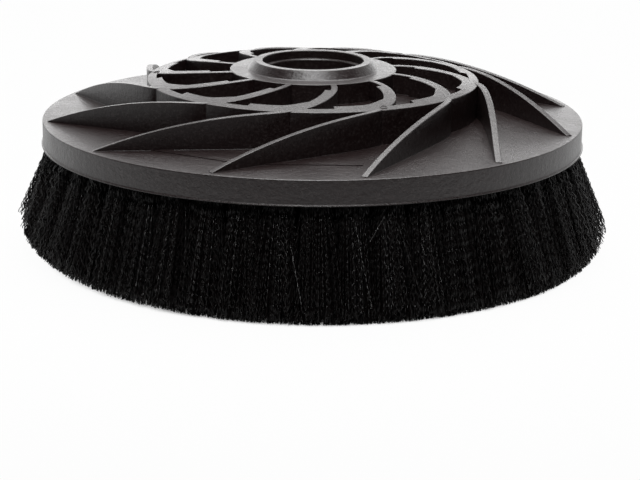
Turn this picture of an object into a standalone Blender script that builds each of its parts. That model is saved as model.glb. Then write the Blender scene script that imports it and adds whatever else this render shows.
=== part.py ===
"""Wheel brush for a vehicle wash machine.

One moulded disc with a stepped hub bore, a middle ring and swept blades on its drive side,
set on its working side with rings of flaring tufts of crimped filament.
Metres, +Z up. The tufts' tips stand on z = 0 and the spin axis is the Z axis.
"""
import math

import bmesh
import bpy
from mathutils import Matrix, Vector

# ---------------------------------------------------------------- driving dimensions
CLEARANCE = 0.0003            # gap between pieces that touch
TURNED_STEPS = 72             # flats on a turned surface

BRISTLE_LENGTH = 0.0783       # from the disc's working face to the cut tips

RIM_RADIUS = 0.200            # at the rim's top edge
RIM_HEIGHT = 0.0177
RIM_DRAFT = 0.0011            # the rim is this much wider at its bottom edge
PLATE_RISE = 0.0034           # height of the plate at the ring's foot, over the rim's edge

RING_RADIUS = 0.1226          # outside of the middle ring
RING_HEIGHT = 0.0276          # top of the ring over the rim's edge
RING_WALL = 0.0068
WEB_TOP = 0.0200              # floor of the pockets inside the ring, over the rim's edge
WEB_THICKNESS = 0.0060
BLOCK_WALL = 0.0126           # from the outside of the ring to the hollow under the web

FLANGE_RADIUS = 0.0616
FLANGE_HEIGHT = 0.0346        # over the rim's edge
CONE_BASE_RADIUS = 0.0482
CONE_TOP_RADIUS = 0.0434
HUB_HEIGHT = 0.0411           # over the rim's edge
MOUTH_RADIUS = 0.0376         # bore above its step
SEAT_DEPTH = 0.0060           # from the hub's top to the step in the bore
BORE_RADIUS = 0.0356          # bore below its step

SPOKE_CROWN = 0.0016          # rise of the spokes' tops over a straight line from flange to ring

BLADES = 12
FIRST_BLADE_ANGLE = 13.8      # degrees from +X to the first blade's root
BLADE_WALL = 0.0046
BLADE_EMBED = 0.0030          # how far a blade runs into the wall or floor that carries it
RING_ANGLE = -21.4            # degrees that a blade has swept where it crosses the ring
TIP_ANGLE = -63.8             # degrees that a blade has swept at its tip
TIP_MARGIN = 0.0050           # from the rim's edge to a blade's tip
TIP_HEIGHT = 0.0010           # height of a blade's tip over the plate
BLADE_STEPS = 7               # straight pieces in each half of a blade
TOP_STEP = 0.0002             # blades lie this much under the flange and the ring, linings under blades

LINING_WALL = 0.0042          # extra wall in the blunt corner of each pocket
LINING_START = 0.30           # where the lining starts along the spoke
LINING_SWEEP = 15.0           # degrees of ring that the lining covers
LINING_CORNER = 0.016         # length of the rounded corner, along the ring

SECTORS = 8                   # each ring of tufts is set in this many slices of backing
INNER_SECTORS = 16            # shorter slices for the innermost ring, which bends most round the hollow
SLICE_THICKNESS = 0.0060
OUTER_ROW_INSET = 0.0077      # from the rim's edge to the centres of the outer tufts
OUTER_LAND = 0.0022           # rim wall left outside the outer slices
INNER_LAND = 0.0036           # wall left between the hollow and the inner slices
ROW_SPACING = 0.0175
TUFT_PITCH = 0.0150           # least spacing of the tufts along their row
TUFT_ROOT = 0.0062            # side of a tuft where it leaves its hole
TUFT_TIP_ACROSS = 0.0130      # width of a tuft's tip along its row
TUFT_TIP_DEEP = 0.0160        # width of a tuft's tip across its row
OUTER_LEAN = 0.0207           # how far the outer tufts' tips stand out beyond their roots
TIP_ROUNDING = 0.0090         # how far the outer edge of the outer tufts is cut up

# ---------------------------------------------------------------- heights and radii that follow
RIM_EDGE_Z = BRISTLE_LENGTH + RIM_HEIGHT
FACE_Z = BRISTLE_LENGTH
HOLLOW_RADIUS = RING_RADIUS - BLOCK_WALL
OUTER_ROW_RADIUS = RIM_RADIUS - OUTER_ROW_INSET
SLICES_INNER_RADIUS = HOLLOW_RADIUS + INNER_LAND
SLICES_OUTER_RADIUS = RIM_RADIUS - OUTER_LAND
ROWS = 1 + int((OUTER_ROW_RADIUS - TUFT_ROOT / 2 - SLICES_INNER_RADIUS) / ROW_SPACING)


# ---------------------------------------------------------------- tools
def clear_scene():
    for old in list(bpy.data.objects):
        bpy.data.objects.remove(old, do_unlink=True)


def plastic(name, colour, roughness):
    material = bpy.data.materials.new(name)
    material.use_nodes = True
    shader = material.node_tree.nodes["Principled BSDF"]
    shader.inputs["Base Color"].default_value = (*colour, 1.0)
    shader.inputs["Roughness"].default_value = roughness
    shader.inputs["Metallic"].default_value = 0.0
    return material


def polar(radius, degrees):
    angle = math.radians(degrees)
    return Vector((radius * math.cos(angle), radius * math.sin(angle)))


def bezier(start, pull_start, pull_end, end, steps):
    """Points along a cubic curve, both ends included."""
    points = []
    for i in range(steps + 1):
        t = i / steps
        s = 1 - t
        points.append(s**3 * start + 3 * s * s * t * pull_start + 3 * s * t * t * pull_end + t**3 * end)
    return points


def side_offsets(points, distance):
    """The same path, moved sideways to the right of its direction."""
    moved = []
    for i, point in enumerate(points):
        ahead = points[min(i + 1, len(points) - 1)]
        behind = points[max(i - 1, 0)]
        along = (ahead - behind).normalized()
        moved.append(point + distance * Vector((along.y, -along.x)))
    return moved


def finish(mesh_builder, name):
    bmesh.ops.recalc_face_normals(mesh_builder, faces=mesh_builder.faces)
    mesh = bpy.data.meshes.new(name)
    mesh_builder.to_mesh(mesh)
    mesh_builder.free()
    mesh.shade_smooth()
    mesh.set_sharp_from_angle(angle=math.radians(30))
    return mesh


def place(name, mesh, parent=None, turn=0.0):
    item = bpy.data.objects.new(name, mesh)
    bpy.context.scene.collection.objects.link(item)
    item.parent = parent
    item.rotation_euler.z = turn
    return item


def turned_mesh(name, profile, steps):
    """A closed (radius, z) outline turned round the Z axis."""
    bm = bmesh.new()
    corners = [bm.verts.new((radius, 0.0, z)) for radius, z in profile]
    edges = [bm.edges.new((corners[i - 1], corners[i])) for i in range(len(corners))]
    bmesh.ops.spin(bm, geom=corners + edges, cent=(0, 0, 0), axis=(0, 0, 1), angle=math.tau,
                   steps=steps, use_merge=True)
    bmesh.ops.remove_doubles(bm, verts=bm.verts, dist=0.00001)
    return finish(bm, name)


def add_wall(bm, left, right, bottoms, tops):
    """A closed upright wall between two matching paths."""
    rings = []
    for a, b, low, high in zip(left, right, bottoms, tops):
        ring = [(a, low[0]), (b, low[1]), (b, high[1]), (a, high[0])]
        rings.append([bm.verts.new((flat.x, flat.y, z)) for flat, z in ring])
    bm.faces.new(rings[0])
    bm.faces.new(list(reversed(rings[-1])))
    for here, there in zip(rings[:-1], rings[1:]):
        for i in range(4):
            j = (i + 1) % 4
            bm.faces.new((here[i], here[j], there[j], there[i]))


def boolean(target, tool, operation):
    cut = target.modifiers.new(operation.lower(), "BOOLEAN")
    cut.operation = operation
    cut.object = tool
    cut.solver = "EXACT"
    tool.hide_render = True
    tool.display_type = "WIRE"
    return cut


# ---------------------------------------------------------------- moulded disc
def cone_top(radius):
    """Height of the arched top that the spokes share, over the rim's edge."""
    inward = (RING_RADIUS - radius) / (RING_RADIUS - FLANGE_RADIUS)
    straight = RING_HEIGHT + (FLANGE_HEIGHT - RING_HEIGHT) * inward
    return straight + 4 * SPOKE_CROWN * inward * (1 - inward)


def plate_top(radius):
    """Height of the plate outside the ring, over the rim's edge."""
    return PLATE_RISE * (RIM_RADIUS - radius) / (RIM_RADIUS - RING_RADIUS)


def disc_profile():
    """Half section of the disc without its blades, as (radius, height over the rim's edge)."""
    web_under = WEB_TOP - WEB_THICKNESS
    ring_inside = RING_RADIUS - RING_WALL
    groove_top = SLICE_THICKNESS + CLEARANCE - RIM_HEIGHT
    groove_inside = SLICES_INNER_RADIUS - CLEARANCE
    groove_outside = SLICES_OUTER_RADIUS + CLEARANCE
    return [
        (BORE_RADIUS, web_under),
        (BORE_RADIUS, HUB_HEIGHT - SEAT_DEPTH),
        (MOUTH_RADIUS, HUB_HEIGHT - SEAT_DEPTH),
        (MOUTH_RADIUS, HUB_HEIGHT),
        (CONE_TOP_RADIUS, HUB_HEIGHT),
        (CONE_BASE_RADIUS, FLANGE_HEIGHT),
        (FLANGE_RADIUS, FLANGE_HEIGHT),
        (FLANGE_RADIUS, WEB_TOP),
        (ring_inside, WEB_TOP),
        (ring_inside, cone_top(ring_inside)),
        (RING_RADIUS, RING_HEIGHT),
        (RING_RADIUS, PLATE_RISE),
        (RIM_RADIUS, 0.0),
        (RIM_RADIUS + RIM_DRAFT, -RIM_HEIGHT),
        (groove_outside, -RIM_HEIGHT),
        (groove_outside, groove_top),
        (groove_inside, groove_top),
        (groove_inside, -RIM_HEIGHT),
        (HOLLOW_RADIUS, -RIM_HEIGHT),
        (HOLLOW_RADIUS, web_under),
    ]


def spoke_path():
    """Centre line of a blade from the hub to the ring."""
    start = FLANGE_RADIUS - BLADE_EMBED
    end = RING_RADIUS - RING_WALL / 2
    span = end - start
    return bezier(polar(start, 0.0), polar(start + 0.34 * span, 0.0),
                  polar(start + 0.90 * span, 0.43 * RING_ANGLE), polar(end, RING_ANGLE), BLADE_STEPS)


def rib_path():
    """Centre line of a blade from the ring to its tip near the rim."""
    start = RING_RADIUS - RING_WALL / 2
    end = RIM_RADIUS - TIP_MARGIN
    span = end - start
    sweep = TIP_ANGLE - RING_ANGLE
    return bezier(polar(start, RING_ANGLE), polar(start + 0.16 * span, RING_ANGLE),
                  polar(start + 0.69 * span, RING_ANGLE + 0.85 * sweep), polar(end, TIP_ANGLE), BLADE_STEPS)


def add_blade(bm):
    spoke = spoke_path()
    rib = rib_path()
    path = spoke + rib[1:]
    run = [0.0]
    for a, b in zip(rib[:-1], rib[1:]):
        run.append(run[-1] + (b - a).length)
    bottoms = []
    tops = []
    for point in spoke:
        low = WEB_TOP - BLADE_EMBED
        high = cone_top(point.length) - TOP_STEP
        bottoms.append((low, low))
        tops.append((high, high))
    start_height = tops[-1][0] - plate_top(rib[0].length)
    for point, distance in zip(rib[1:], run[1:]):
        fall = 1 - (distance / run[-1]) ** 2
        plate = plate_top(point.length)
        high = plate + TIP_HEIGHT + (start_height - TIP_HEIGHT) * fall
        bottoms.append((plate - BLADE_EMBED, plate - BLADE_EMBED))
        tops.append((high, high))
    bottoms[len(spoke) - 1] = (PLATE_RISE - BLADE_EMBED, PLATE_RISE - BLADE_EMBED)
    half = BLADE_WALL / 2
    add_wall(bm, side_offsets(path, -half), side_offsets(path, half), bottoms, tops)


def add_lining(bm):
    """The thicker wall that follows the spoke's hollow side, rounds the corner and follows the ring."""
    spoke = spoke_path()
    first = round(LINING_START * BLADE_STEPS)
    last = BLADE_STEPS - 1
    backs = spoke[first:last]
    fronts = side_offsets(spoke, BLADE_WALL / 2 + LINING_WALL)[first:last]
    ring_back = RING_RADIUS - RING_WALL / 2
    ring_front = RING_RADIUS - RING_WALL - LINING_WALL
    corner_angle = RING_ANGLE - math.degrees(LINING_CORNER / ring_front)
    end_angle = RING_ANGLE - LINING_SWEEP
    corner_pull = polar(ring_front, RING_ANGLE - 0.25 * math.degrees(LINING_CORNER / ring_front))
    corner = bezier(fronts[-1], corner_pull, corner_pull, polar(ring_front, corner_angle), 4)
    fronts += corner[1:]
    corner_backs = bezier(backs[-1], spoke[last], polar(ring_back, RING_ANGLE),
                          polar(ring_back, corner_angle), 4)
    backs += corner_backs[1:]
    for i in (1, 2):
        angle = corner_angle + (end_angle - corner_angle) * i / 2
        backs.append(polar(ring_back, angle))
        fronts.append(polar(ring_front, angle))
    low = WEB_TOP - BLADE_EMBED / 2
    bottoms = [(low, low)] * len(backs)
    tops = []
    for back, front in zip(backs, fronts):
        tops.append((cone_top(back.length) - 2 * TOP_STEP, cone_top(front.length) - 2 * TOP_STEP))
    add_wall(bm, backs, fronts, bottoms, tops)


def blade_group(name, add_one, parent):
    """The same wall once for each blade, as one object."""
    bm = bmesh.new()
    add_one(bm)
    one = list(bm.verts) + list(bm.edges) + list(bm.faces)
    for i in range(1, BLADES):
        turn = Matrix.Rotation(math.tau * i / BLADES, 3, "Z")
        copy = bmesh.ops.duplicate(bm, geom=one)["geom"]
        verts = [item for item in copy if isinstance(item, bmesh.types.BMVert)]
        bmesh.ops.rotate(bm, verts=verts, cent=(0, 0, 0), matrix=turn)
    group = place(name, finish(bm, name), parent)
    group.location.z = RIM_EDGE_Z
    group.rotation_euler.z = math.radians(FIRST_BLADE_ANGLE)
    return group


def moulded_disc(parent):
    disc = place("moulded_disc", turned_mesh("moulded_disc", disc_profile(), TURNED_STEPS), parent)
    disc.location.z = RIM_EDGE_Z
    disc.data.materials.append(plastic("black_moulding", (0.050, 0.045, 0.044), 0.42))
    boolean(disc, blade_group("blade_walls", add_blade, parent), "UNION")
    boolean(disc, blade_group("corner_linings", add_lining, parent), "UNION")


# ---------------------------------------------------------------- tufts and their backing
def tuft_tip(row_radius):
    """How far a row's tips lean outward: most at the rim, none at the innermost row."""
    inner_row = OUTER_ROW_RADIUS - (ROWS - 1) * ROW_SPACING
    share = (row_radius - inner_row) / (OUTER_ROW_RADIUS - inner_row)
    return row_radius + OUTER_LEAN * share


def square_at(bm, radius, angle, deep, across, low_outside=0.0, z=0.0):
    """Four corners round a point of the row, turned to face the axis."""
    out = Vector((math.cos(angle), math.sin(angle)))
    side = Vector((-out.y, out.x))
    corners = []
    for u, v in ((-1, -1), (1, -1), (1, 1), (-1, 1)):
        flat = out * (radius + u * deep / 2) + side * (v * across / 2)
        corners.append(bm.verts.new((flat.x, flat.y, z + (low_outside if u > 0 else 0.0))))
    return corners


def tuft_slice_mesh(row, sectors):
    """One slice of backing with its tufts, one cell to a tuft, all in one closed skin."""
    row_radius = OUTER_ROW_RADIUS - row * ROW_SPACING
    outside = SLICES_OUTER_RADIUS if row == 0 else row_radius + (ROW_SPACING - CLEARANCE) / 2
    inside = SLICES_INNER_RADIUS if row == ROWS - 1 else row_radius - (ROW_SPACING - CLEARANCE) / 2
    arc = math.tau / sectors
    count = max(1, int(row_radius * arc / TUFT_PITCH))
    end_gap = CLEARANCE / 2 / inside
    step = (arc - 2 * end_gap) / count
    top = FACE_Z + SLICE_THICKNESS
    bm = bmesh.new()
    columns = []
    for i in range(count + 1):
        angle = end_gap + i * step
        out = Vector((math.cos(angle), math.sin(angle)))
        places = ((inside, FACE_Z), (outside, FACE_Z), (outside, top), (inside, top))
        columns.append([bm.verts.new((out.x * radius, out.y * radius, z)) for radius, z in places])
    bm.faces.new(columns[0])
    bm.faces.new(columns[-1])
    tip_radius = tuft_tip(row_radius)
    cut_up = TIP_ROUNDING if row == 0 else 0.0
    for i in range(count):
        here = columns[i]
        there = columns[i + 1]
        for j in (1, 2, 3):
            k = (j + 1) % 4
            bm.faces.new((here[j], here[k], there[k], there[j]))
        angle = end_gap + (i + 0.5) * step
        root = square_at(bm, row_radius, angle, TUFT_ROOT, TUFT_ROOT, z=FACE_Z)
        tip = square_at(bm, tip_radius, angle, TUFT_TIP_DEEP, TUFT_TIP_ACROSS, low_outside=cut_up)
        cell = (here[0], here[1], there[1], there[0])
        for j in range(4):
            k = (j + 1) % 4
            bm.faces.new((cell[j], cell[k], root[k], root[j]))
            bm.faces.new((root[j], root[k], tip[k], tip[j]))
        bm.faces.new(tip)
    return finish(bm, f"tufts_row_{row + 1}")


def tufts(parent):
    filament = plastic("black_filament", (0.012, 0.011, 0.011), 0.5)
    for row in range(ROWS):
        sectors = INNER_SECTORS if row == ROWS - 1 else SECTORS
        mesh = tuft_slice_mesh(row, sectors)
        mesh.materials.append(filament)
        for sector in range(sectors):
            place(f"tufts_row_{row + 1}_sector_{sector + 1}", mesh, parent, math.tau * sector / sectors)


def build():
    clear_scene()
    brush = place("wheel_brush", None)
    moulded_disc(brush)
    tufts(brush)


build()
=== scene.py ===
"""Looks of a wheel brush for a vehicle wash machine.

A black moulded disc, with a stepped hub and swept blades on its drive side, carries five
rings of black crimped filament tufts. Metres, +Z up, the tips of the tufts on z = 0.
"""
import math

import bpy
import numpy as np
from mathutils import Matrix, Vector


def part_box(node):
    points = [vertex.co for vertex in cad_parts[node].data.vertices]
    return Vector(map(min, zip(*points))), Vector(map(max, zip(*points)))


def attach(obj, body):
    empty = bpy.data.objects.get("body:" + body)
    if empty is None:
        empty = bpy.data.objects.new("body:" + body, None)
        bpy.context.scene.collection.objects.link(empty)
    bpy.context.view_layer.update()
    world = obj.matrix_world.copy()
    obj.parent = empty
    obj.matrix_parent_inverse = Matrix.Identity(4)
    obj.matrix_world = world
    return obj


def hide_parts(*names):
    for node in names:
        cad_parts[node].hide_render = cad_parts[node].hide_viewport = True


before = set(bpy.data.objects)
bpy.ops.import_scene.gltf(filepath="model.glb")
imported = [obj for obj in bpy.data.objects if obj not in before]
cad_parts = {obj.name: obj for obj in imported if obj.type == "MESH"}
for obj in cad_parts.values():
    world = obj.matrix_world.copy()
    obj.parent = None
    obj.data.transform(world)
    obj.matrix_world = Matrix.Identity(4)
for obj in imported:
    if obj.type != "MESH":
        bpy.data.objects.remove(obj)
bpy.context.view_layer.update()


# ============================================================ the disc's turned body
# The brush's back: one injection moulding of black polypropylene, 400 mm across. This section
# makes all of it that is round about the spindle: rim, sloping plate, middle ring, pocket floors,
# flange, cone and stepped bore. Every edge is as soft as a mould leaves it.
disc_low, disc_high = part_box("moulded_disc")
FACE_Z = disc_low.z                     # working face, where the tufts come out
RIM_HEIGHT = 0.0177
RIM_Z = FACE_Z + RIM_HEIGHT             # the rim's top edge; heights below are over this
RIM_RADIUS = 0.200
RIM_FOOT_RADIUS = disc_high.x
PLATE_RISE = 0.0034
RING_RADIUS = 0.1226
RING_HEIGHT = 0.0276
RING_WALL = 0.0068
POCKET_FLOOR = 0.0200
WEB_UNDERSIDE = 0.0140
FLANGE_RADIUS = 0.0616
FLANGE_HEIGHT = 0.0346
CONE_FOOT_RADIUS = 0.0482
CONE_TOP_RADIUS = 0.0434
HUB_HEIGHT = disc_high.z - RIM_Z
MOUTH_RADIUS = 0.0376
SEAT_DEPTH = 0.0060
SEAT_ROUND = 0.0017                     # the seat rolls over into the bore
BORE_RADIUS = 0.0356
HOLLOW_RADIUS = 0.1100
SPOKE_CROWN = 0.0016
TOP_EDGE = 0.0006                       # rounding along the tops of ring and flange
FOOT_EDGE = 0.0002                      # rounding where walls stand on floors
RIM_EDGE = 0.0008                       # rounding at the rim's top
RIM_DRAFT = 0.0001                      # the rim's wall leans out this much
LIP_HEIGHT = 0.0007                     # a slim lip runs along the rim's foot
LIP_SLOPE = 0.0005                      # and its top slopes down this much
TURNED_STEPS = 288
ARC_STEPS = 5
SHARP_CORNER = 40                       # degrees; corners over this are shaded sharp


def arch_height(radius):
    """Height of the low arch from flange to ring, which the tops of the spokes follow."""
    inward = (RING_RADIUS - radius) / (RING_RADIUS - FLANGE_RADIUS)
    straight = RING_HEIGHT + (FLANGE_HEIGHT - RING_HEIGHT) * inward
    return straight + 4 * SPOKE_CROWN * inward * (1 - inward)


def plate_height(radius):
    return PLATE_RISE * (RIM_RADIUS - radius) / (RIM_RADIUS - RING_RADIUS)


def rounded_outline(corners):
    """A closed outline with an arc at each (across, up, rounding) corner."""
    line = []
    for i, (across, up, rounding) in enumerate(corners):
        corner = Vector((across, up))
        back = (Vector(corners[i - 1][:2]) - corner).normalized()
        ahead = (Vector(corners[(i + 1) % len(corners)][:2]) - corner).normalized()
        half_angle = back.angle(ahead) / 2
        centre = corner + (back + ahead).normalized() * (rounding / math.sin(half_angle))
        first = corner + back * (rounding / math.tan(half_angle)) - centre
        last = corner + ahead * (rounding / math.tan(half_angle)) - centre
        sweep = first.angle_signed(last)
        for k in range(ARC_STEPS + 1):
            turned = Matrix.Rotation(-sweep * k / ARC_STEPS, 2) @ first
            line.append(centre + turned)
    return np.array(line)


def grid_quads(rows, columns, close_rows=False, close_columns=False):
    """Corner numbers of the faces of a grid of points, row by row."""
    row = np.arange(rows if close_rows else rows - 1)[:, None]
    column = np.arange(columns if close_columns else columns - 1)[None, :]
    next_row = (row + 1) % rows
    next_column = (column + 1) % columns
    corners = [row * columns + column, row * columns + next_column,
               next_row * columns + next_column, next_row * columns + column]
    return np.stack(corners, axis=-1).reshape(-1, 4)


def new_piece(name, points, faces, material, bake_map=None):
    """A smooth piece from points and one or more arrays of faces, riding on the body."""
    mesh = bpy.data.meshes.new(name)
    loops = np.concatenate([block.ravel() for block in faces])
    sizes = np.concatenate([np.full(len(block), block.shape[1]) for block in faces])
    mesh.vertices.add(len(points))
    mesh.vertices.foreach_set("co", np.asarray(points, np.float32).ravel())
    mesh.loops.add(len(loops))
    mesh.loops.foreach_set("vertex_index", loops.astype(np.int32))
    mesh.polygons.add(len(sizes))
    mesh.polygons.foreach_set("loop_start", (np.cumsum(sizes) - sizes).astype(np.int32))
    if bake_map is not None:
        flat = mesh.uv_layers.new(name="OFBake")
        flat.uv.foreach_set("vector", np.asarray(bake_map[loops], np.float32).ravel())
    mesh.update(calc_edges=True)
    mesh.validate()
    mesh.shade_smooth()
    mesh.materials.append(material)
    piece = bpy.data.objects.new(name, mesh)
    bpy.context.scene.collection.objects.link(piece)
    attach(piece, "root")
    return piece


def even_shading(piece):
    """Keep wide flats flat beside their narrow rounded edges."""
    piece.data.set_sharp_from_angle(angle=math.radians(SHARP_CORNER))
    weigh = piece.modifiers.new("even shading", "WEIGHTED_NORMAL")
    weigh.keep_sharp = True
    weigh.weight = 50


def colour(code):
    """An sRGB hex colour as linear RGBA."""
    parts = [int(code[i:i + 2], 16) / 255 for i in (1, 3, 5)]
    linear = [part / 12.92 if part <= 0.04045 else ((part + 0.055) / 1.055) ** 2.4 for part in parts]
    return (*linear, 1.0)


def add_node(material, kind, settings=None, inputs=None):
    """Add a node; an input given as a socket is linked, any other is set as a value."""
    tree = material.node_tree
    node = tree.nodes.new(kind)
    for key, value in (settings or {}).items():
        setattr(node, key, value)
    for key, value in (inputs or {}).items():
        if isinstance(value, bpy.types.NodeSocket):
            tree.links.new(value, node.inputs[key])
        else:
            node.inputs[key].default_value = value
    return node


# Polypropylene moulded against a spark-eroded cavity: near black, with a satin skin whose fine
# grain breaks reflections up, and which looks grey where it is seen at a low angle.
GRAIN = 0.0013          # real grain is about 0.3 mm; drawn this coarse so that it shows
MOTTLE = 0.0045         # uneven gloss of the sparked skin, drawn as a very low waviness
FLOW = 0.030            # soft cloudy patches where the melt cooled unevenly
SPECK = 0.0018          # pale specks of filler and dust at the skin

moulding = bpy.data.materials.new("moulded_polypropylene")
moulding.use_nodes = True
moulding_shader = moulding.node_tree.nodes["Principled BSDF"]
moulding_shader.inputs["IOR"].default_value = 1.50
moulding_shader.inputs["Specular IOR Level"].default_value = 0.58
place_on = add_node(moulding, "ShaderNodeTexCoord").outputs["Object"]
grain = add_node(moulding, "ShaderNodeTexNoise",
                 inputs={"Vector": place_on, "Scale": 1 / GRAIN, "Detail": 3.0, "Roughness": 0.6})
flow = add_node(moulding, "ShaderNodeTexNoise",
                inputs={"Vector": place_on, "Scale": 1 / FLOW, "Detail": 5.0, "Roughness": 0.65})
speck = add_node(moulding, "ShaderNodeTexNoise",
                 inputs={"Vector": place_on, "Scale": 1 / SPECK, "Detail": 3.0, "Roughness": 0.7})
skin = add_node(moulding, "ShaderNodeMix", {"data_type": "RGBA"},
                {"Factor": flow.outputs["Fac"], "A": colour("#140b0b"), "B": colour("#1c1111")})
speck_amount = add_node(moulding, "ShaderNodeMapRange",
                        inputs={"Value": speck.outputs["Fac"], "From Min": 0.50, "From Max": 0.74,
                                "To Min": 0.0, "To Max": 0.45})
specked = add_node(moulding, "ShaderNodeMix", {"data_type": "RGBA"},
                   {"Factor": speck_amount.outputs["Result"], "A": skin.outputs["Result"],
                    "B": colour("#4d4645")})
gloss = add_node(moulding, "ShaderNodeMapRange",
                 inputs={"Value": flow.outputs["Fac"], "From Min": 0.3, "From Max": 0.7,
                         "To Min": 0.28, "To Max": 0.37})
mottle = add_node(moulding, "ShaderNodeTexNoise",
                  inputs={"Vector": place_on, "Scale": 1 / MOTTLE, "Detail": 4.0, "Roughness": 0.75})
mottle_bump = add_node(moulding, "ShaderNodeBump",
                       inputs={"Height": mottle.outputs["Fac"], "Strength": 1.0, "Distance": 0.00045})
grain_bump = add_node(moulding, "ShaderNodeBump",
                      inputs={"Height": grain.outputs["Fac"], "Strength": 0.60, "Distance": 0.0002,
                              "Normal": mottle_bump.outputs["Normal"]})
moulding.node_tree.links.new(specked.outputs["Result"], moulding_shader.inputs["Base Color"])
moulding.node_tree.links.new(gloss.outputs["Result"], moulding_shader.inputs["Roughness"])
moulding.node_tree.links.new(grain_bump.outputs["Normal"], moulding_shader.inputs["Normal"])

# The outline runs up the bore, out over hub, flange, ring and plate, down the rim and back inside.
ring_inside = RING_RADIUS - RING_WALL
half_section = rounded_outline([
    (BORE_RADIUS, WEB_UNDERSIDE, 0.0005),
    (BORE_RADIUS, HUB_HEIGHT - SEAT_DEPTH, SEAT_ROUND),
    (MOUTH_RADIUS, HUB_HEIGHT - SEAT_DEPTH, 0.0002),
    (MOUTH_RADIUS, HUB_HEIGHT, 0.0008),
    (CONE_TOP_RADIUS, HUB_HEIGHT, 0.0010),
    (CONE_FOOT_RADIUS, FLANGE_HEIGHT, 0.0016),
    (FLANGE_RADIUS, FLANGE_HEIGHT, TOP_EDGE),
    (FLANGE_RADIUS, POCKET_FLOOR, FOOT_EDGE),
    (ring_inside, POCKET_FLOOR, FOOT_EDGE),
    (ring_inside, arch_height(ring_inside), TOP_EDGE),
    (RING_RADIUS, RING_HEIGHT, TOP_EDGE),
    (RING_RADIUS, PLATE_RISE, FOOT_EDGE),
    (RIM_RADIUS, 0.0, RIM_EDGE),
    (RIM_RADIUS + RIM_DRAFT, -RIM_HEIGHT + LIP_HEIGHT + LIP_SLOPE, 0.0001),
    (RIM_FOOT_RADIUS, -RIM_HEIGHT + LIP_HEIGHT, 0.0004),
    (RIM_FOOT_RADIUS, -RIM_HEIGHT, 0.0002),
    (HOLLOW_RADIUS, -RIM_HEIGHT, 0.0010),
    (HOLLOW_RADIUS, WEB_UNDERSIDE, 0.0030),
])
turn = np.arange(TURNED_STEPS)[:, None] * math.tau / TURNED_STEPS
turned_points = np.stack([np.cos(turn) * half_section[:, 0], np.sin(turn) * half_section[:, 0],
                          np.ones_like(turn) * half_section[:, 1] + RIM_Z], axis=-1).reshape(-1, 3)
disc_body = new_piece("disc_body", turned_points,
                      [grid_quads(TURNED_STEPS, len(half_section), True, True)], moulding)
even_shading(disc_body)
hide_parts("moulded_disc")


# ============================================================ the swept blades
# Twelve blades in the same moulding. Each is a spoke from flange to ring that throws water
# outward, and then a low rib that sweeps back and runs out on the plate near the rim.
BLADES = 12
FIRST_BLADE = 13.8                      # degrees from +X to the first blade's root
BLADE_WALL = 0.0046
RING_SWEEP = -21.4                      # degrees swept where a blade crosses the ring
TIP_SWEEP = -63.8                       # degrees swept at its tip
TIP_MARGIN = 0.0050
TIP_HEIGHT = 0.0005
BLADE_STATIONS = 56
BLADE_EDGE = 0.0006                     # rounding along the blades' tops
JUST_UNDER = 0.00006                    # blades end this much under the ring's top
BURIED = 0.0008                         # and their walls reach this far into the floor
SPOKE_STRAIGHT = 0.34                   # shares of a spoke's span and sweep that set its bend
SPOKE_BEND = 0.90
SPOKE_BEND_SWEEP = 0.43
RIB_STRAIGHT = 0.16                     # the same for a rib
RIB_BEND = 0.69
RIB_BEND_SWEEP = 0.85


def polar(radius, degrees):
    angle = math.radians(degrees)
    return np.array((radius * math.cos(angle), radius * math.sin(angle)))


def curve(start, pull_start, pull_end, end, stations):
    """Points along a cubic curve, both ends included."""
    t = np.linspace(0, 1, stations)[:, None]
    s = 1 - t
    return s**3 * start + 3 * s * s * t * pull_start + 3 * s * t * t * pull_end + t**3 * end


def rightward(path):
    """Unit directions to the right of a path."""
    along = np.gradient(path, axis=0)
    along /= np.linalg.norm(along, axis=1, keepdims=True)
    return np.stack([along[:, 1], -along[:, 0]], axis=1)


def wall_section(half, floor, top, edge, foot):
    """Across and up offsets of a wall with a rounded top and hollowed feet, one row a station."""
    height = top - floor
    edge = np.minimum(edge, 0.8 * height)[:, None]
    foot = np.minimum(foot, 0.4 * height)[:, None]
    floor = floor[:, None]
    top = top[:, None]
    arc = np.linspace(0, math.pi / 2, ARC_STEPS + 1)[None, :]
    foot_across = -(half + foot) + foot * np.sin(arc)
    foot_up = floor + foot - foot * np.cos(arc)
    edge_across = -half + edge - edge * np.cos(arc)
    edge_up = top - edge + edge * np.sin(arc)
    across = np.hstack([foot_across, edge_across])
    up = np.hstack([foot_up, edge_up])
    buried = floor - BURIED
    return (np.hstack([across[:, :1], across, -across[:, ::-1], -across[:, :1]]),
            np.hstack([buried, up, up[:, ::-1], buried]))


def wall_points(path, side, across, up):
    flat = path[:, None, :] + across[:, :, None] * side[:, None, :]
    return np.concatenate([flat, up[:, :, None]], axis=2)


def repeated(points, quads, ends):
    """The same wall once for each blade, turned about the spindle and lifted onto the rim."""
    all_points, all_quads, all_ends = [], [], []
    for i in range(BLADES):
        angle = math.radians(FIRST_BLADE) + math.tau * i / BLADES
        c, s = math.cos(angle), math.sin(angle)
        turned = points @ np.array([(c, s, 0), (-s, c, 0), (0, 0, 1)])
        turned[:, 2] += RIM_Z
        all_points.append(turned)
        all_quads.append(quads + i * len(points))
        all_ends.append(ends + i * len(points))
    return np.concatenate(all_points), np.concatenate(all_quads), np.concatenate(all_ends)


def wall_faces(stations, section_points):
    """Side faces of a closed wall and its two end faces."""
    quads = grid_quads(stations, section_points, False, True)
    first = np.arange(section_points)[::-1]
    last = np.arange(section_points) + (stations - 1) * section_points
    return quads, np.stack([first, last])


crossing = RING_RADIUS - RING_WALL / 2
spoke_root = FLANGE_RADIUS - 0.0030
spoke_span = crossing - spoke_root


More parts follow.
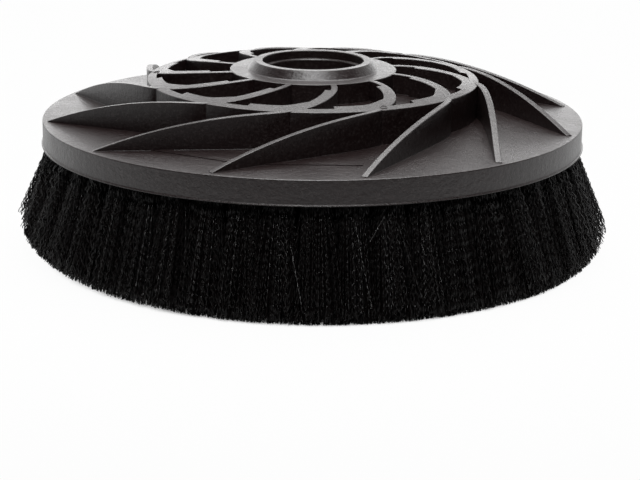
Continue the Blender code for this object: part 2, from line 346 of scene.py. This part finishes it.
def spoke_path(stations):
    """A spoke's middle line: straight out of the flange, then swept to where it meets the ring."""
    return curve(polar(spoke_root, 0), polar(spoke_root + SPOKE_STRAIGHT * spoke_span, 0),
                 polar(spoke_root + SPOKE_BEND * spoke_span, SPOKE_BEND_SWEEP * RING_SWEEP),
                 polar(crossing, RING_SWEEP), stations)


spoke = spoke_path(BLADE_STATIONS)
spoke_radius = np.linalg.norm(spoke, axis=1)
spoke_across, spoke_up = wall_section(BLADE_WALL / 2, np.full(BLADE_STATIONS, POCKET_FLOOR),
                                      arch_height(spoke_radius), BLADE_EDGE, FOOT_EDGE)
spoke_points = wall_points(spoke, rightward(spoke), spoke_across, spoke_up)
upper = slice(ARC_STEPS + 2, 3 * ARC_STEPS + 5)     # the top of the wall, laid on the arch
vertex_radius = np.linalg.norm(spoke_points[:, upper, :2], axis=2)
over_middle = arch_height(vertex_radius) - arch_height(spoke_radius)[:, None]
spoke_points[:, upper, 2] += over_middle - JUST_UNDER

rib_end = RIM_RADIUS - TIP_MARGIN
rib_span = rib_end - crossing
rib_sweep = TIP_SWEEP - RING_SWEEP
rib = curve(polar(crossing, RING_SWEEP), polar(crossing + RIB_STRAIGHT * rib_span, RING_SWEEP),
            polar(crossing + RIB_BEND * rib_span, RING_SWEEP + RIB_BEND_SWEEP * rib_sweep),
            polar(rib_end, TIP_SWEEP), BLADE_STATIONS)
rib_radius = np.linalg.norm(rib, axis=1)
run = np.concatenate([[0.0], np.cumsum(np.linalg.norm(np.diff(rib, axis=0), axis=1))])
run /= run[-1]
rib_floor = plate_height(rib_radius)
rib_start_height = arch_height(crossing) - rib_floor[0]
rib_top = rib_floor + TIP_HEIGHT + (rib_start_height - TIP_HEIGHT) * (1 - run**2) - JUST_UNDER
rib_across, rib_up = wall_section(BLADE_WALL / 2, rib_floor, rib_top, BLADE_EDGE, FOOT_EDGE)
rib_points = wall_points(rib, rightward(rib), rib_across, rib_up)

section_count = spoke_across.shape[1]
blade_quads, blade_ends = wall_faces(BLADE_STATIONS, section_count)
one_blade = np.concatenate([spoke_points.reshape(-1, 3), rib_points.reshape(-1, 3)])
rib_offset = BLADE_STATIONS * section_count
blade_points, blade_quads, blade_ends = repeated(
    one_blade, np.concatenate([blade_quads, blade_quads + rib_offset]),
    np.concatenate([blade_ends, blade_ends + rib_offset]))
blades = new_piece("swept_blades", blade_points, [blade_quads, blade_ends], moulding)
even_shading(blades)
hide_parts("moulded_disc")


# ============================================================ the corner linings
# Extra wall in the blunt corner of each pocket, where a blade pulls on the ring. It starts with
# a plain step on the spoke, rounds the corner and ends with another step along the ring.
LINING_WALL = 0.0042
LINING_START = 2 / 7                    # where it starts, as a share of the spoke
LINING_LEAVES = 5 / 7                   # where its front leaves the spoke for the corner
LINING_BACK_BEND = 6 / 7                # where its back, inside the walls, bends to the ring
LINING_SWEEP = 15.0                     # degrees that it runs on along the ring
LINING_CORNER = 0.016
LINING_EDGE = 0.0007
FINE_STEPS = 140
FINE_STRIDE = 4
CORNER_STATIONS = 15
CORNER_PULL = 0.25
ALONG_RING_STATIONS = 8

lining_front_radius = ring_inside - LINING_WALL
corner_turn = math.degrees(LINING_CORNER / lining_front_radius)
fine_spoke = spoke_path(FINE_STEPS + 1)
first = round(FINE_STEPS * LINING_START)
leaves = round(FINE_STEPS * LINING_LEAVES)
bends = round(FINE_STEPS * LINING_BACK_BEND)
along_spoke = np.arange(first, leaves + 1, FINE_STRIDE)
fine_side = rightward(fine_spoke)
lining_front = fine_spoke[along_spoke] + fine_side[along_spoke] * (BLADE_WALL / 2 + LINING_WALL)
lining_back = fine_spoke[along_spoke]
corner_pull = polar(lining_front_radius, RING_SWEEP - CORNER_PULL * corner_turn)
corner_end = RING_SWEEP - corner_turn
front_corner = curve(lining_front[-1], corner_pull, corner_pull,
                     polar(lining_front_radius, corner_end), CORNER_STATIONS)
back_corner = curve(lining_back[-1], fine_spoke[bends], polar(crossing, RING_SWEEP),
                    polar(crossing, corner_end), CORNER_STATIONS)
ring_angles = np.linspace(corner_end, RING_SWEEP - LINING_SWEEP, ALONG_RING_STATIONS)[1:]
front_ring = np.array([polar(lining_front_radius, angle) for angle in ring_angles])
back_ring = np.array([polar(crossing, angle) for angle in ring_angles])
lining_front = np.concatenate([lining_front, front_corner[1:], front_ring])
lining_back = np.concatenate([lining_back, back_corner[1:], back_ring])
lining_depth = np.linalg.norm(lining_back - lining_front, axis=1)
inward = (lining_back - lining_front) / lining_depth[:, None]
arc = np.linspace(0, math.pi / 2, ARC_STEPS + 1)
lining_top = arch_height(np.linalg.norm(lining_front, axis=1)) - 2 * JUST_UNDER
foot_across = np.ones_like(lining_top)[:, None] * (FOOT_EDGE * np.sin(arc) - FOOT_EDGE)
foot_up = np.ones_like(lining_top)[:, None] * (POCKET_FLOOR + FOOT_EDGE - FOOT_EDGE * np.cos(arc))
edge_across = np.ones_like(lining_top)[:, None] * (LINING_EDGE - LINING_EDGE * np.cos(arc))
edge_up = lining_top[:, None] - LINING_EDGE + LINING_EDGE * np.sin(arc)
back_top = arch_height(np.linalg.norm(lining_back, axis=1)) - 2 * JUST_UNDER
lining_across = np.hstack([foot_across, edge_across, lining_depth[:, None], lining_depth[:, None]])
lining_up = np.hstack([foot_up, edge_up, back_top[:, None],
                       np.full_like(back_top, POCKET_FLOOR - BURIED)[:, None]])
one_lining = wall_points(lining_front, inward, lining_across, lining_up)
lining_quads, lining_ends = wall_faces(*one_lining.shape[:2])
lining_points, lining_quads, lining_ends = repeated(
    one_lining.reshape(-1, 3), lining_quads, lining_ends)
linings = new_piece("corner_linings", lining_points, [lining_quads, lining_ends], moulding)
even_shading(linings)
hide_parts("moulded_disc")


# ============================================================ witness marks of the mould
# Two long inserts of the mould leave low flat-topped plateaus on the plate, and the pins that
# push the moulding out leave small round lips on the ring, beside three of the blades.
PLATEAUS_AT = (240, 270)                # degrees from +X
PLATEAU_HEIGHT = 0.0005
PLATEAU_LENGTH = 0.067
PLATEAU_DEPTH = 0.0068
PLATEAU_MIDDLE = 0.1624                 # from the spindle's axis
PLATEAU_STEPS = 24
PIN_BLADES_AT = (52.4, 172.4, 292.4)    # where those three blades cross the ring
PIN_BESIDE = 2.15                       # degrees from the blade to its pin
PIN_INWARD = 0.0015                     # and in from the middle of the ring's wall
PIN_RADIUS = 0.0026
PIN_LIP = 0.0003
PIN_LIP_WIDTH = 0.0006
PIN_STEPS = 32
MARK_SUNK = 0.0003                      # marks reach down into the skin this far

mark_points = []
mark_quads = []


def add_mark(corners, closed):
    """A raised strip: its four corner lines run along it, round its section."""
    block = np.stack(corners, axis=1)
    start = sum(len(points) for points in mark_points)
    mark_points.append(block.reshape(-1, 3))
    mark_quads.append(start + grid_quads(len(block), 4, closed, True))
    if not closed:
        last = start + (len(block) - 1) * 4
        mark_quads.append(np.array([[start + 3, start + 2, start + 1, start],
                                    [last, last + 1, last + 2, last + 3]]))


for facing in PLATEAUS_AT:
    out = polar(1, facing)
    right = np.array((-out[1], out[0]))
    along = np.linspace(-0.5, 0.5, PLATEAU_STEPS)[:, None] * PLATEAU_LENGTH * right
    near = (PLATEAU_MIDDLE + PLATEAU_DEPTH / 2) * out + along
    far = (PLATEAU_MIDDLE - PLATEAU_DEPTH / 2) * out + along
    lines = []
    for line, lift in ((near, -MARK_SUNK), (near, PLATEAU_HEIGHT),
                       (far, PLATEAU_HEIGHT), (far, -MARK_SUNK)):
        lines.append(np.column_stack([line, RIM_Z + plate_height(np.linalg.norm(line, axis=1)) + lift]))
    add_mark(lines, False)
for crossing_angle in PIN_BLADES_AT:
    middle = polar(crossing - PIN_INWARD, crossing_angle + PIN_BESIDE)
    around = np.arange(PIN_STEPS)[:, None] * math.tau / PIN_STEPS
    unit_circle = np.hstack([np.cos(around), np.sin(around)])
    pin_inside = PIN_RADIUS - PIN_LIP_WIDTH
    lines = []
    for radius, lift in ((PIN_RADIUS, -MARK_SUNK), (PIN_RADIUS, PIN_LIP),
                         (pin_inside, PIN_LIP), (pin_inside, -MARK_SUNK)):
        line = middle + radius * unit_circle
        lines.append(np.column_stack([line, RIM_Z + arch_height(np.linalg.norm(line, axis=1)) + lift]))
    add_mark(lines, True)

marks = new_piece("mould_marks", np.concatenate(mark_points), [np.concatenate(mark_quads)], moulding)
marks.data.set_sharp_from_angle(angle=math.radians(SHARP_CORNER))
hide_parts("moulded_disc")


# ============================================================ the filament tufts
# Five rings of bundles of black crimped polypropylene filament, each folded over a wire anchor
# in a hole of the working face. The bundles flare, most at the rim, until they close up, and
# their tips are trimmed level and rounded up at the outer edge.
TUFTS_IN_RING = (50, 44, 40, 36, 32)
SLICES_IN_RING = (8, 8, 8, 8, 16)
PIECES_IN_SLICE = (2, 1, 1, 1, 1)       # so that no piece has over 200,000 faces
FIRST_TUFT = 4.4                        # degrees from +X to the first tuft of each ring
OUTER_ROW_RADIUS = RIM_RADIUS - 0.0090
ROW_SPACING = 0.0175
IN_HOLE = 0.0020                        # filaments are drawn from this far up in their hole
ROOT_DEPTH = 0.0034                     # half the bundle across its ring, where it leaves the hole
ROOT_WIDTH = 0.0084                     # and half of it along the ring
OUTER_TIP_RADIUS = 0.2080               # middle of the outer tufts at their tips
TIP_SPACING = 0.0208
TIP_DEPTH = 0.0132
TIP_OVERLAP = 1.25                      # how far the tips of a tuft run in among its neighbours'
TIP_REACH = RIM_RADIUS + 0.0212         # no tip stands out further
STRAYING = 0.0038                       # how far a filament wanders from its place in the fan
TUFT_LEAN = 0.0010                      # how far the tips of a whole tuft lean over
SIDE_FLARE = 0.6                        # power under 1: a tuft widens most just below its hole
FILAMENT_RADIUS = 0.00036
CRIMP_HALF_WAVE = 0.0039
CRIMP_HEIGHT = 0.00100
CRIMP_VARIES = (0.7, 1.15)              # least and most share of that height
CRIMP_FULL_AFTER = 8                    # it has its full height after one part in this many
CRIMP_TWIST = 0.6                       # how differently, in radians, the waves lie
OUT_OF_STEP = (0.45, 2.6)               # how far, in radians, a tuft's crimps shift: least and most
TRIM_FROM = 0.2070                      # outside this radius the tips are cut up in a curve
TRIM_RISE = 80.0                        # height of that cut per squared metre beyond it
RAGGED = 0.0007
WORN_SIDE = 185.0                       # degrees from +X to the side where the tips are worn,
WORN_SHORT = 0.0052                     # this much shorter
WORN_IN = 0.0018                        # standing out this much less
WORN_RAGGED = 5.0                       # and up to this many times more ragged
TIP_END = 0.004                         # last share of each filament, so that only its end turns in
SHOWN_COUNT = 145                       # filaments of an outer tuft whose crimp is drawn out
CORE_COUNT = 90                         # further ones, drawn plainly, that fill its core
CORE_SHARE = 0.72                       # and keep to this share of its width
INNER_COUNT = 130                       # filaments of an inner tuft, all drawn plainly
CRIMP_DRAWN = CRIMP_HALF_WAVE / 2       # distance of the stations along a filament
DRAWN_PLAINLY = 2 * CRIMP_HALF_WAVE

# Drawn polypropylene, black throughout: smoother than the moulding, so each wave of the crimp
# catches a small glint while the spaces between filaments stay black.
LAY = 0.009             # neighbouring tufts lie and shine a little differently

filament = bpy.data.materials.new("crimped_polypropylene_filament")
filament.use_nodes = True
filament_shader = filament.node_tree.nodes["Principled BSDF"]
filament_shader.inputs["IOR"].default_value = 1.49
filament_shader.inputs["Specular IOR Level"].default_value = 0.34
lay_place = add_node(filament, "ShaderNodeTexCoord").outputs["Object"]
lay = add_node(filament, "ShaderNodeTexNoise",
               inputs={"Vector": lay_place, "Scale": 1 / LAY, "Detail": 3.0, "Roughness": 0.6})
lay_colour = add_node(filament, "ShaderNodeMix", {"data_type": "RGBA"},
                      {"Factor": lay.outputs["Fac"], "A": colour("#050303"), "B": colour("#0a0505")})
lay_gloss = add_node(filament, "ShaderNodeMapRange",
                     inputs={"Value": lay.outputs["Fac"], "From Min": 0.3, "From Max": 0.7,
                             "To Min": 0.22, "To Max": 0.34})
filament.node_tree.links.new(lay_colour.outputs["Result"], filament_shader.inputs["Base Color"])
filament.node_tree.links.new(lay_gloss.outputs["Result"], filament_shader.inputs["Roughness"])


def tuft_paths(chance, angle, root_radius, tip_radius, tip_width, count, spacing, fullness, spread):
    """Centre points of one tuft's filaments: filaments x stations x 3.

    Spacing is that of the stations. A fullness of 0.5 fills the tuft evenly and a smaller one
    its outside more. Spread is the share of the tuft's width that they keep to.
    """
    out = np.array((math.cos(angle), math.sin(angle), 0.0))
    side = np.array((-out[1], out[0], 0.0))
    turn = chance.uniform(0, math.tau, count)
    share = spread * chance.uniform(0, 1, count) ** fullness
    outward, sideward = share * np.cos(turn), share * np.sin(turn)
    lean, swing = chance.normal(0, TUFT_LEAN), chance.normal(0, TUFT_LEAN)
    tip_out = (tip_radius + lean + TIP_DEPTH * outward
               + chance.normal(0, spread**2 * STRAYING / 3, count))
    tip_side = swing + tip_width * sideward + chance.normal(0, spread**2 * STRAYING, count)
    worn = max(0.0, math.cos(angle - math.radians(WORN_SIDE))) ** 2
    tip_out = np.minimum(tip_out, TIP_REACH)
    over = np.maximum(tip_out - TRIM_FROM, 0)
    ragged = RAGGED * (1 + WORN_RAGGED * worn)
    tip_z = TRIM_RISE * over**2 + ragged * chance.uniform(0, 1, count) ** 2 + WORN_SHORT * worn
    tip_out -= WORN_IN * worn
    root_z = FACE_Z + IN_HOLE
    t = np.append(np.linspace(0, 1, round(root_z / spacing))[:-1], (1 - TIP_END, 1))[None, :]
    flare_side = t**SIDE_FLARE
    run = t * (root_z - tip_z)[:, None]
    out_of_step = chance.uniform(*OUT_OF_STEP)
    wave = np.sin(math.pi * run / CRIMP_HALF_WAVE + chance.uniform(0, math.tau)
                  + chance.normal(0, out_of_step, count)[:, None])
    height = CRIMP_HEIGHT * chance.uniform(*CRIMP_VARIES, count)
    wave *= height[:, None] * np.minimum(1, CRIMP_FULL_AFTER * t)
    lie = chance.normal(0, CRIMP_TWIST, count)[:, None]
    start = ROOT_DEPTH * outward[:, None]
    radial = root_radius + start + ((tip_out - root_radius)[:, None] - start) * t + wave * np.cos(lie)
    start = ROOT_WIDTH * sideward[:, None]
    across = start + (tip_side[:, None] - start) * flare_side + wave * np.sin(lie)
    z = root_z + (tip_z[:, None] - root_z) * t
    return radial[..., None] * out + across[..., None] * side + z[..., None] * np.array((0, 0, 1.0))


def filament_tubes(paths, chance):
    """Three-sided tubes along the paths, with a closing face at each end and a flat map."""
    count, stations = paths.shape[:2]
    corner = np.arange(3) * math.tau / 3
    roll = chance.uniform(0, math.tau, count)[:, None] + corner[None, :]
    ring = np.stack([np.cos(roll), np.sin(roll), np.zeros_like(roll)], axis=-1) * FILAMENT_RADIUS
    points = paths[:, :, None, :] + ring[:, None, :, :]
    one = grid_quads(stations, 3, False, True)
    starts = np.arange(count)[:, None, None] * stations * 3
    quads = (one[None] + starts).reshape(-1, 4)
    ends = np.array([[0, 1, 2], [3 * stations - 1, 3 * stations - 2, 3 * stations - 3]])
    ends = (ends[None] + starts).reshape(-1, 3)
    cells = math.ceil(math.sqrt(count))
    cell = np.arange(count)[:, None, None]
    along = np.linspace(0.1, 0.9, stations)[None, :, None]
    beside = np.array((0.2, 0.5, 0.8))[None, None, :]
    u = (cell % cells + along + np.zeros_like(beside)) / cells
    v = (cell // cells + beside + np.zeros_like(along)) / cells
    return points.reshape(-1, 3), quads, ends, np.stack([u, v], axis=-1).reshape(-1, 2)


def filament_piece(name, bundles, chance, material):
    """One piece from several bundles of paths, each with its own square of the flat map."""
    points, quads, ends, maps = [], [], [], []
    total = 0
    tile = math.ceil(math.sqrt(len(bundles)))
    for i, paths in enumerate(bundles):
        tube_points, tube_quads, tube_ends, tube_map = filament_tubes(paths, chance)
        points.append(tube_points)
        quads.append(tube_quads + total)
        ends.append(tube_ends + total)
        maps.append((tube_map + np.array((i % tile, i // tile))) / tile)
        total += len(tube_points)
    piece = new_piece(name, np.concatenate(points), [np.concatenate(quads), np.concatenate(ends)],
                      material, np.concatenate(maps))
    return piece


for row, (tufts, slices, pieces) in enumerate(zip(TUFTS_IN_RING, SLICES_IN_RING, PIECES_IN_SLICE)):
    root_radius = OUTER_ROW_RADIUS - row * ROW_SPACING
    tip_radius = OUTER_TIP_RADIUS - row * TIP_SPACING
    pitch = math.tau / tufts
    tip_width = TIP_OVERLAP * tip_radius * pitch / 2
    angles = math.radians(FIRST_TUFT) + pitch * np.arange(tufts)
    for sector in range(slices):
        chance = np.random.default_rng(100 * row + sector)
        bundles = []
        for angle in angles[np.floor(angles / math.tau * slices) % slices == sector]:
            place = (chance, angle, root_radius, tip_radius, tip_width)
            if row == 0:
                bundles.append(tuft_paths(*place, SHOWN_COUNT, CRIMP_DRAWN, 0.42, 1.0))
                bundles.append(tuft_paths(*place, CORE_COUNT, DRAWN_PLAINLY, 0.55, CORE_SHARE))
            else:
                bundles.append(tuft_paths(*place, INNER_COUNT, DRAWN_PLAINLY, 0.5, 1.0))
        share = math.ceil(len(bundles) / pieces)
        for part in range(pieces):
            piece = filament_piece(f"filaments_row_{row + 1}_sector_{sector + 1}_part_{part + 1}",
                                   bundles[part * share:(part + 1) * share], chance, filament)
            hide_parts(f"tufts_row_{row + 1}_sector_{sector + 1}")


# ============================================================ stray filaments
# A few filaments that have worked loose hang proud of the outer tufts, some crimped and some
# pulled nearly straight.
STRAYS = (                              # degrees at top and bottom, share of the fall there, crimp
    (278.1, 280.5, 0.16, 0.83, 1.0),
    (283.7, 280.7, 0.12, 0.31, 0.3),
    (286.4, 289.9, 0.20, 0.83, 0.45),
    (290.9, 290.3, 0.30, 0.76, 1.0),
    (266.2, 268.4, 0.33, 0.79, 1.0),
)
STRAY_STATIONS = 36
STRAY_CRIMP = 1.2                       # a loose filament springs back to more than its crimp
PROUD = 0.0018                          # how far strays stand out of the tufts

# The same polypropylene, rubbed smooth where nothing shields it: its glints are brighter.
worn_filament = filament.copy()
worn_filament.name = "worn_polypropylene_filament"
worn_shader = worn_filament.node_tree.nodes["Principled BSDF"]
worn_shader.inputs["Specular IOR Level"].default_value = 1.0

tuft_outside = OUTER_ROW_RADIUS + ROOT_DEPTH
stray_paths = []
for top, bottom, start, end, crimp in STRAYS:
    fall = np.linspace(start, end, STRAY_STATIONS)
    z = (FACE_Z + IN_HOLE) * (1 - fall)
    wave = np.sin(math.pi * (fall - start) * FACE_Z / CRIMP_HALF_WAVE)
    wave *= STRAY_CRIMP * CRIMP_HEIGHT * crimp
    reach = tuft_outside + (TIP_REACH - tuft_outside) * fall
    angle = np.radians(top + (bottom - top) * (fall - start) / (end - start))
    radius = reach + PROUD + wave
    stray_paths.append(np.column_stack([radius * np.cos(angle), radius * np.sin(angle), z]))
filament_piece("stray_filaments", [np.stack(stray_paths)], np.random.default_rng(7), worn_filament)


# ============================================================ floor, light and view
# A pale table stands under a long softbox that reaches out behind the brush, with a small one
# above the front and a wide low one behind. As light and as a mirrored picture, the room is white
# behind the brush and dark in front of it. The near end of the table is painted darker too, as
# painted shade for light that falls off there, both in its colour and in its mirrored glow.
floor_mesh = bpy.data.meshes.new("table")
floor_mesh.from_pydata([(-3, -3, 0), (3, -3, 0), (3, 3, 0), (-3, 3, 0)], [], [(0, 1, 2, 3)])
table = bpy.data.objects.new("table", floor_mesh)
bpy.context.scene.collection.objects.link(table)
table.location.z = -0.0002              # clear of the tips

# Matt paper that shows white to the view, apart from a soft shadow right beside the tips.
paper = bpy.data.materials.new("white_table")
paper.use_nodes = True
paper_shader = paper.node_tree.nodes["Principled BSDF"]
paper_shader.inputs["Roughness"].default_value = 0.9
paper_shader.inputs["Specular IOR Level"].default_value = 0.0
glow = add_node(paper, "ShaderNodeEmission", inputs={"Color": (1, 1, 1, 1), "Strength": 1.0})
shade = add_node(paper, "ShaderNodeAmbientOcclusion", {"samples": 12}, {"Distance": 0.10})
in_open = add_node(paper, "ShaderNodeMapRange", {"interpolation_type": "SMOOTHSTEP"},
                   {"Value": shade.outputs["AO"], "From Min": 0.04, "From Max": 0.12,
                    "To Min": 0.0, "To Max": 0.97})
# Painted shadow: as mirrored rays see it, the table is darkened over a wide zone round the brush, taken
# from ambient occlusion, standing in for the brush's shadow on it.
painted_shadow_in_mirror = add_node(paper, "ShaderNodeMapRange", {"interpolation_type": "SMOOTHSTEP"},
                      {"Value": shade.outputs["AO"], "From Min": 0.25, "From Max": 1.0,
                       "To Min": 0.0, "To Max": 0.97})
on_table = add_node(paper, "ShaderNodeSeparateXYZ",
                    inputs={0: add_node(paper, "ShaderNodeTexCoord").outputs["Object"]})
# Painted shade: 0.3 at the near end of the table and 1 behind it, standing in for light that falls off
# towards the front; it dims the table's colour and its mirrored glow.
lit_part = add_node(paper, "ShaderNodeMapRange", {"interpolation_type": "SMOOTHSTEP"},
                    {"Value": on_table.outputs["Y"], "From Min": -0.60, "From Max": -0.22,
                     "To Min": 0.30, "To Max": 1.0})
mirrored = add_node(paper, "ShaderNodeMath", {"operation": "MULTIPLY"},
                    {0: painted_shadow_in_mirror.outputs["Result"], 1: lit_part.outputs["Result"]})
# Painted shade in the table's colour: dark at its near end, pale behind it.
painted_falloff_sheet = add_node(paper, "ShaderNodeMix", {"data_type": "RGBA"},
                 {"Factor": lit_part.outputs["Result"], "A": colour("#202020"), "B": colour("#b8b8b8")})
paper.node_tree.links.new(painted_falloff_sheet.outputs["Result"], paper_shader.inputs["Base Color"])


def seen_sharply(material):
    """Two sockets: 1 for the camera's own rays, and 1 for mirrored rays and rays through glass."""
    path = add_node(material, "ShaderNodeLightPath")
    sharp = add_node(material, "ShaderNodeMath", {"operation": "ADD", "use_clamp": True},
                     {0: path.outputs["Is Glossy Ray"], 1: path.outputs["Is Transmission Ray"]})
    return path.outputs["Is Camera Ray"], sharp.outputs[0]


in_view, sharp = seen_sharply(paper)
shown_in_view = add_node(paper, "ShaderNodeMath", {"operation": "MULTIPLY"},
                         {0: in_view, 1: in_open.outputs["Result"]})
shown_sharply = add_node(paper, "ShaderNodeMath", {"operation": "MULTIPLY"},
                         {0: sharp, 1: mirrored.outputs[0]})
shown = add_node(paper, "ShaderNodeMath", {"operation": "MAXIMUM"},
                 {0: shown_in_view.outputs[0], 1: shown_sharply.outputs[0]})
blend = add_node(paper, "ShaderNodeMixShader",
                 inputs={0: shown.outputs[0], 1: paper_shader.outputs[0], 2: glow.outputs[0]})
paper.node_tree.links.new(blend.outputs[0], paper.node_tree.nodes["Material Output"].inputs["Surface"])
floor_mesh.materials.append(paper)

# The walls are white to the view on every side. Behind the brush they are mirrored at full
# strength and light it at half, and in front of it they hardly do either.
world = bpy.data.worlds.new("white_backdrop")
bpy.context.scene.world = world
world.use_nodes = True
background = world.node_tree.nodes["Background"]
background.inputs["Color"].default_value = (1, 1, 1, 1)
direction = add_node(world, "ShaderNodeSeparateXYZ",
                     inputs={0: add_node(world, "ShaderNodeTexCoord").outputs["Generated"]})
behind = add_node(world, "ShaderNodeMapRange", {"interpolation_type": "SMOOTHSTEP"},
                  {"Value": direction.outputs["Y"], "From Min": 0.05, "From Max": 0.55,
                   "To Min": 0.02, "To Max": 1.0})
in_view, sharp = seen_sharply(world)
share = add_node(world, "ShaderNodeMath", {"operation": "MULTIPLY_ADD"}, {0: sharp, 1: 0.5, 2: 0.5})
reflected = add_node(world, "ShaderNodeMath", {"operation": "MULTIPLY"},
                     {0: share.outputs[0], 1: behind.outputs["Result"]})
strength = add_node(world, "ShaderNodeMath", {"operation": "MAXIMUM"},
                    {0: in_view, 1: reflected.outputs[0]})
world.node_tree.links.new(strength.outputs[0], background.inputs["Strength"])


def soft_lamp(name, place, aim, size, radiance):
    """A rectangular softbox; radiance 1 looks as bright as the white backdrop."""
    lamp = bpy.data.lights.new(name, "AREA")
    lamp.shape = "RECTANGLE"
    lamp.size, lamp.size_y = size
    lamp.energy = radiance * math.pi * size[0] * size[1]
    holder = bpy.data.objects.new(name, lamp)
    bpy.context.scene.collection.objects.link(holder)
    holder.location = place
    holder.rotation_euler = (Vector(aim) - Vector(place)).to_track_quat("-Z", "Y").to_euler()


soft_lamp("softbox_overhead", (0.0, 0.35, 1.50), (0.0, 0.34, 0.0), (1.10, 1.90), 5.2)
soft_lamp("softbox_above_front", (0.0, -0.75, 1.38), (0.0, 0.0, 0.08), (0.45, 0.45), 20.0)
soft_lamp("softbox_behind", (0.0, 2.20, 0.40), (0.0, 0.0, 0.30), (2.40, 0.50), 2.2)

TILT_DOWN = 0.2154                      # the view's height over the disc's edge, as an angle
DISTANCE = 1.4092
SMALL_TURNS = ((-0.0669, "X"), (-0.0045, "Y"), (0.009, "Z"))    # radians that set the brush in the frame
camera = bpy.data.cameras.new("view")
camera.lens = 105.8
camera.sensor_width = 36
view = bpy.data.objects.new("view", camera)
bpy.context.scene.collection.objects.link(view)
view.location = (0, -DISTANCE * math.cos(TILT_DOWN), RIM_Z + DISTANCE * math.sin(TILT_DOWN))
aim = Matrix.Rotation(math.pi / 2 - TILT_DOWN, 3, "X")
for angle, axis in SMALL_TURNS:
    aim = aim @ Matrix.Rotation(angle, 3, axis)
view.rotation_euler = aim.to_euler()
bpy.context.scene.camera = view
bpy.context.scene.view_settings.view_transform = "Standard"
